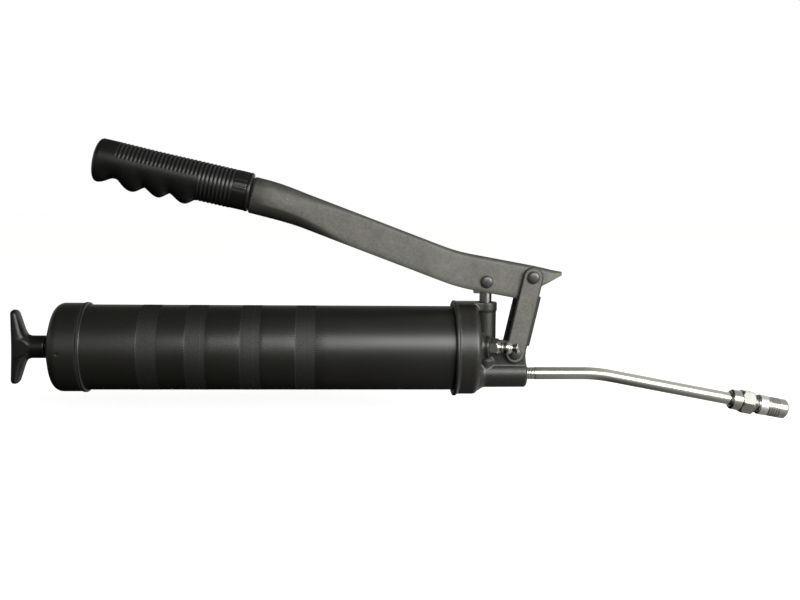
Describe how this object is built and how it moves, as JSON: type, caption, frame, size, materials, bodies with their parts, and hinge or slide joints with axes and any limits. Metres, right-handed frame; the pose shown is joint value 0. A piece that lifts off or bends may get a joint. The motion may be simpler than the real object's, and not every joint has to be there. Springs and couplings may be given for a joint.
{
  "type": "lever grease gun",
  "caption": "Hand lever grease gun: black barrel with knurled bands, cast head, channel lever with moulded grip, linked plunger, bent steel pipe and jaw coupler.",
  "frame": {"origin": "on the barrel's axis, at the middle of its bare length between the two caps", "axes": "+X along the barrel towards the pump head and pipe, +Z from the barrel up to the lever, +Y away from the filler nipple's side"},
  "size_m": [0.5316, 0.065, 0.1885],
  "materials": {
    "barrel_paint": "semi-gloss black enamel on steel tube",
    "head_paint": "fine-textured black paint on cast iron",
    "lever_paint": "fine-textured dark grey paint on pressed steel",
    "rivet_paint": "dark grey painted steel",
    "grip_rubber": "moulded black vinyl",
    "handle_plastic": "moulded black plastic",
    "polished_steel": "ground bright steel",
    "zinc_steel": "bright zinc-plated steel",
    "nickel_steel": "nickel-plated turned steel",
    "spring_steel": "oiled spring steel",
    "seal_rubber": "nitrile rubber",
    "bush_plastic": "black bearing plastic"
  },
  "bodies": {
    "pump": {"pump_head": "head_paint", "barrel": "barrel_paint", "head_gasket": "seal_rubber", "rear_cap": "barrel_paint", "rod_guide_bush": "bush_plastic", "plunger_packing": "seal_rubber", "packing_retainer": "rivet_paint", "filler_nipple": "nickel_steel", "nipple_spring": "spring_steel", "outlet_spring": "spring_steel", "extension_pipe": "zinc_steel", "coupler_body": "nickel_steel", "coupler_band": "nickel_steel", "coupler_nose": "nickel_steel", "coupler_spring": "spring_steel", "follower_spring": "spring_steel"},
    "link": {"link": "lever_paint", "lower_pivot_rivet": "rivet_paint", "upper_pivot_rivet": "rivet_paint"},
    "lever": {"lever": "lever_paint", "lever_grip": "grip_rubber", "plunger_pin": "rivet_paint"},
    "plunger": {"plunger": "polished_steel"},
    "follower": {"follower_cup": "seal_rubber", "follower_front_disc": "zinc_steel", "follower_back_disc": "zinc_steel"},
    "rod_stop": {"rod_stop_washer": "zinc_steel"},
    "rod": {"follower_rod": "zinc_steel", "rod_nut": "zinc_steel", "t_handle": "handle_plastic"},
    "outlet_ball": {"outlet_ball": "polished_steel"},
    "nipple_ball": {"nipple_ball": "polished_steel"},
    "coupler_core": {"coupler_jaws": "nickel_steel", "coupler_seal": "seal_rubber", "seal_washer": "zinc_steel"}
  },
  "joints": [
    {"name": "link_swing", "type": "hinge", "parent": "pump", "child": "link", "pos_m": [0.1664, 0, -0.0025], "axis": [0, 1, 0], "range_deg": [-7, 1.5]},
    {"name": "lever_swing", "type": "hinge", "parent": "link", "child": "lever", "pos_m": [0.1781, 0, 0.049], "axis": [0, 1, 0], "range_deg": [-9, 52]},
    {"name": "plunger_slide", "type": "slide", "parent": "pump", "child": "plunger", "axis": [0, 0, 1], "range_m": [-0.0045, 0.0252]},
    {"name": "follower_slide", "type": "slide", "parent": "pump", "child": "follower", "axis": [1, 0, 0], "range_m": [0, 0.2], "deforming": ["follower_spring"]},
    {"name": "rod_slide", "type": "slide", "parent": "pump", "child": "rod_stop", "axis": [-1, 0, 0], "range_m": [0, 0.2]},
    {"name": "rod_spin", "type": "hinge", "parent": "rod_stop", "child": "rod", "pos_m": [0, 0, 0], "axis": [1, 0, 0], "continuous": true},
    {"name": "outlet_check", "type": "slide", "parent": "pump", "child": "outlet_ball", "axis": [1, 0, 0], "range_m": [0, 0.0015], "stiffness_N_per_m": 200, "deforming": ["outlet_spring"]},
    {"name": "filler_check", "type": "slide", "parent": "pump", "child": "nipple_ball", "axis": [-0.9511, 0.309, 0], "range_m": [0, 0.0015], "stiffness_N_per_m": 100, "deforming": ["nipple_spring"]},
    {"name": "jaw_slide", "type": "slide", "parent": "pump", "child": "coupler_core", "axis": [-0.9826, 0, 0.1857], "range_m": [0, 0.002], "stiffness_N_per_m": 1500, "deforming": ["coupler_spring"]}
  ],
  "couplings": [
    {"joint": "link_swing", "follows": "lever_swing", "ratio": -0.1275},
    {"joint": "plunger_slide", "follows": "lever_swing", "m_per_rad": 0.0273}
  ]
}
